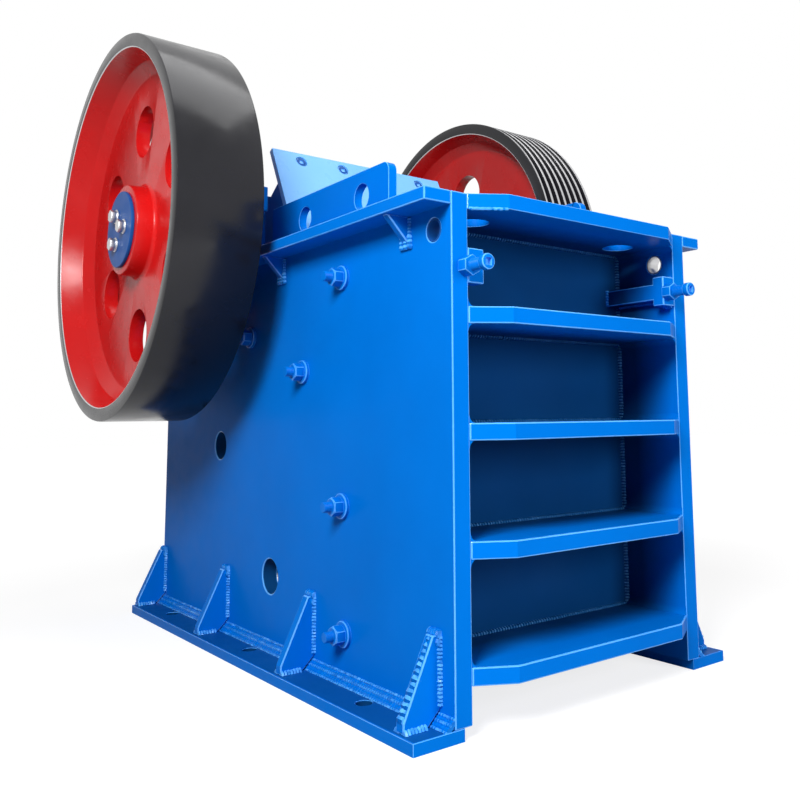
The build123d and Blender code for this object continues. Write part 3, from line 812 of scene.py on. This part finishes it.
def cove(corner, out, up, back, radius):
    """A hollow fillet along Y in a corner: a quarter circle drawn in to the corner and extruded."""
    bpy.ops.object.select_all(action="DESELECT")
    bpy.ops.mesh.primitive_circle_add(vertices=32, radius=radius)
    piece = bpy.context.object
    bpy.ops.object.mode_set(mode="EDIT")
    for normal in ((1, 0, 0), (0, 1, 0)):
        bpy.ops.mesh.select_all(action="SELECT")
        bpy.ops.mesh.bisect(plane_co=(0.00001, 0.00001, 0), plane_no=normal, clear_outer=True)
    bpy.ops.mesh.select_all(action="SELECT")
    bpy.ops.mesh.extrude_edges_move()
    bpy.ops.transform.resize(value=(0, 0, 1), center_override=(-radius, -radius, 0))
    bpy.ops.mesh.select_all(action="SELECT")
    bpy.ops.mesh.remove_doubles(threshold=0.0002)
    bpy.ops.mesh.select_all(action="SELECT")
    bpy.ops.mesh.extrude_region_move(TRANSFORM_OT_translate={"value": (0, 0, back - corner[1])})
    bpy.ops.mesh.select_all(action="SELECT")
    bpy.ops.transform.translate(value=(radius, radius, 0))
    bpy.ops.object.mode_set(mode="OBJECT")
    piece.matrix_world = Matrix(((out, 0, 0, corner[0]), (0, 0, 1, corner[1]), (0, up, 0, corner[2]),
                                 (0, 0, 0, 1)))
    active(piece)
    bpy.ops.object.transform_apply(location=True, rotation=True, scale=True)
    bpy.ops.object.mode_set(mode="EDIT")
    bpy.ops.mesh.select_all(action="SELECT")
    bpy.ops.mesh.normals_make_consistent(inside=False)
    bpy.ops.object.mode_set(mode="OBJECT")
    return piece


hollow = 0.024
mouth = front + 0.001
coves = []
for (low, high), ceiling in zip(shelf_boxes, ceilings):
    for side in (-1, 1):
        coves.append(cove((side * inner_face, mouth, high.z), -side, 1, wall_face, hollow))
        if side > 0 or ceiling < ceilings[-1]:
            coves.append(cove((side * inner_face, mouth, ceiling), -side, -1, wall_face, hollow))
fillets = joined("rib_fillets", coves, plate_paint, "blue_paint")
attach(fillets, "frame")

# Two coil springs behind the rear wall pull on the tension rods and so keep the toggle plate in
# its seats. Each is wound from round steel bar.
bpy.ops.object.select_all(action="DESELECT")
spring_boxes = solids("tension_springs")
low, high = spring_boxes[0]
spring_length = high.y - low.y
bar_radius = 0.0085
coil_radius = 0.039
turns = 5
end_room = 0.009
bpy.ops.mesh.primitive_circle_add(vertices=12, radius=bar_radius, location=(coil_radius, 0, end_room),
                                  rotation=(math.pi / 2, 0, 0))
spring = bpy.context.object
bpy.ops.object.transform_apply(location=True, rotation=True, scale=True)
coil = spring.modifiers.new("coil", "SCREW")
coil.axis = "Z"
coil.iterations = turns
coil.screw_offset = (spring_length - 2 * end_room) / turns
coil.steps = 28
coil.use_smooth_shade = True
bpy.ops.object.modifier_apply(modifier=coil.name)
bpy.ops.object.mode_set(mode="EDIT")
bpy.ops.mesh.select_all(action="SELECT")
bpy.ops.mesh.fill_holes(sides=0)
bpy.ops.mesh.normals_make_consistent(inside=False)
bpy.ops.object.mode_set(mode="OBJECT")
spring = joined("spring", [spring], steel, "plain_steel")
spring_spots = [Vector(((low.x + high.x) / 2, low.y, (low.z + high.z) / 2)) for low, high in spring_boxes]
first = fitted(spring, "tension_spring", spring_spots, lambda spot: (0, 1, 0), "frame")
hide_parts("tension_springs")

# Eight steel hex screws on a circle hold each bearing cover to its housing. They are painted with
# the housing and are seen only from behind the wheels.
cover_low, cover_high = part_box("bearing_covers")
cover_y = (cover_low.y + cover_high.y) / 2
cover_z = (cover_low.z + cover_high.z) / 2
screw_circle = 0.18
cover_spots = []
for side in (-1, 1):
    for i in range(8):
        angle = math.radians(22.5 + i * 45)
        cover_spots.append(Vector((side * cover_high.x, cover_y + screw_circle * math.cos(angle),
                                   cover_z + screw_circle * math.sin(angle))))
cover_screw = joined("cover_screw", [drum("head", 6, 0.017, 0.0, 0.012, 0.002)], blue_paint, "blue_paint")
fitted(cover_screw, "cover_screw", cover_spots, sideways, "frame")

# The camera stands low by the left front corner, about two metres in front of the ribs, and looks
# slightly up, as the photograph was taken.
camera_data = bpy.data.cameras.new("camera")
camera = bpy.data.objects.new("camera", camera_data)
bpy.context.scene.collection.objects.link(camera)
bpy.context.scene.camera = camera
image_size = 800
focal_pixels = 856.9
centre_x = 478.1
centre_y = 315.2
sensor = 36.0
camera_data.sensor_width = sensor
camera_data.lens = sensor * focal_pixels / image_size
camera_data.shift_x = (image_size / 2 - centre_x) / image_size
camera_data.shift_y = (centre_y - image_size / 2) / image_size
turn = math.radians(-39.318)
tilt = math.radians(6.836)
roll = math.radians(-0.704)
forward = Vector((-math.sin(turn) * math.cos(tilt), math.cos(turn) * math.cos(tilt), math.sin(tilt)))
level = Vector((math.cos(turn), math.sin(turn), 0))
upright = level.cross(forward)
side = level * math.cos(roll) + upright * math.sin(roll)
top = upright * math.cos(roll) - level * math.sin(roll)
tripod = (-2.1061, -3.2153, 0.9126)
camera.matrix_world = Matrix.Translation(tripod) @ Matrix((side, top, -forward)).transposed().to_4x4()

# The crusher stands on a pale floor in front of a white backdrop, both seen white by the camera and
# in mirrored surfaces. The floor keeps the crusher's shadow, and three soft lamps light the paint.


def seen_white(tree):
    """One for rays from the camera and from mirroring or clear surfaces, and zero for the others."""
    rays = tree.nodes.new("ShaderNodeLightPath")
    found = rays.outputs["Is Camera Ray"]
    for kind in ("Is Glossy Ray", "Is Transmission Ray"):
        either = tree.nodes.new("ShaderNodeMath")
        either.operation = "MAXIMUM"
        tree.links.new(found, either.inputs[0])
        tree.links.new(rays.outputs[kind], either.inputs[1])
        found = either.outputs["Value"]
    return found


world = bpy.data.worlds.new("studio")
bpy.context.scene.world = world
world.use_nodes = True
backdrop = world.node_tree.nodes["Background"]
strength = world.node_tree.nodes.new("ShaderNodeMapRange")
strength.inputs["To Min"].default_value = 0.06
strength.inputs["To Max"].default_value = 1.0
link = world.node_tree.links.new
link(seen_white(world.node_tree), strength.inputs["Value"])
link(strength.outputs["Result"], backdrop.inputs["Strength"])
backdrop.inputs["Color"].default_value = (1, 1, 1, 1)

bpy.ops.object.select_all(action="DESELECT")
bpy.ops.mesh.primitive_plane_add(size=60, location=(0, 0, 0))
floor = bpy.context.object
floor.name = "floor"
ground = bpy.data.materials.new("pale_floor")
ground.use_nodes = True
shader = ground.node_tree.nodes["Principled BSDF"]
shader.inputs["Base Color"].default_value = (0.35, 0.35, 0.35, 1)
shader.inputs["Roughness"].default_value = 0.9
shader.inputs["Specular IOR Level"].default_value = 0.0
shader.inputs["Emission Color"].default_value = (1, 1, 1, 1)
spot = ground.node_tree.nodes.new("ShaderNodeTexCoord")
reach = ground.node_tree.nodes.new("ShaderNodeVectorMath")
reach.operation = "LENGTH"
fade = ground.node_tree.nodes.new("ShaderNodeMapRange")
fade.inputs["From Min"].default_value = 2.2
fade.inputs["From Max"].default_value = 5.0
fade.inputs["To Min"].default_value = 0.78
fade.inputs["To Max"].default_value = 1.0
glow = ground.node_tree.nodes.new("ShaderNodeMath")
glow.operation = "MULTIPLY"
link = ground.node_tree.links.new
link(spot.outputs["Object"], reach.inputs[0])
link(reach.outputs["Value"], fade.inputs["Value"])
link(seen_white(ground.node_tree), glow.inputs[0])
link(fade.outputs["Result"], glow.inputs[1])
link(glow.outputs["Value"], shader.inputs["Emission Strength"])
floor.data.materials.append(ground)


def softbox(name, place, aim, size, power, mirrored):
    """A square soft lamp that faces a point, and that glossy surfaces can mirror or not."""
    data = bpy.data.lights.new(name, "AREA")
    data.size = size
    data.energy = power
    lamp = bpy.data.objects.new(name, data)
    bpy.context.scene.collection.objects.link(lamp)
    lamp.location = place
    lamp.rotation_euler = (Vector(aim) - Vector(place)).to_track_quat("-Z", "Y").to_euler()
    lamp.visible_glossy = mirrored


softbox("left_lamp", (-3.6, -3.0, 3.4), (-0.56, -0.9, 0.8), 1.6, 285, True)
softbox("front_lamp", (1.2, -7.0, 2.2), (0, -1.2, 0.9), 2.5, 240, False)
softbox("top_lamp", (0.3, -0.7, 6.2), (0, -0.6, 1.0), 3.5, 120, True)

bpy.context.scene.view_settings.view_transform = "Standard"
